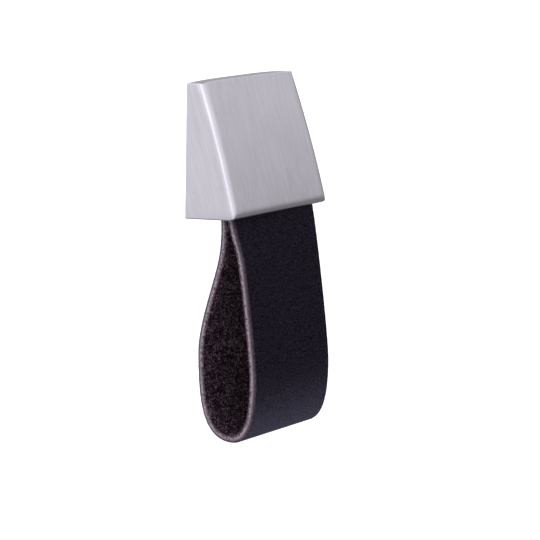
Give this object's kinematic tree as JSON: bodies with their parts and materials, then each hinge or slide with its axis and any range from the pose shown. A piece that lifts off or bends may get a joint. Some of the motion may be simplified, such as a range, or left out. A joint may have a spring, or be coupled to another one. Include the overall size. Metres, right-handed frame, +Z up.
{
  "type": "leather pull",
  "caption": "Cabinet pull: a black leather strap folded into a finger loop, clamped in a satin metal cap that screws to a door or drawer front.",
  "frame": {"origin": "On the cap's back face, midway between its two fixing holes, where the pull meets the door or drawer front.", "axes": "+Y points out of the back face, into the door. The front of the pull faces -Y. +Z is up, from the loop to the cap. +X is to the right of someone facing the pull."},
  "size_m": [0.0384, 0.0188, 0.09],
  "materials": {
    "cap_metal": "satin nickel on a zinc die casting, brushed up and down",
    "strap_leather": "smooth black grain side, bare cut edges, suede flesh side",
    "plate_steel": "zinc plated sheet",
    "screw_steel": "zinc plated"
  },
  "bodies": {
    "root": {"cap": "cap_metal", "strap": "strap_leather", "clamp_plate": "plate_steel", "clamp_screw_left": "screw_steel", "clamp_screw_right": "screw_steel"}
  },
  "joints": []
}
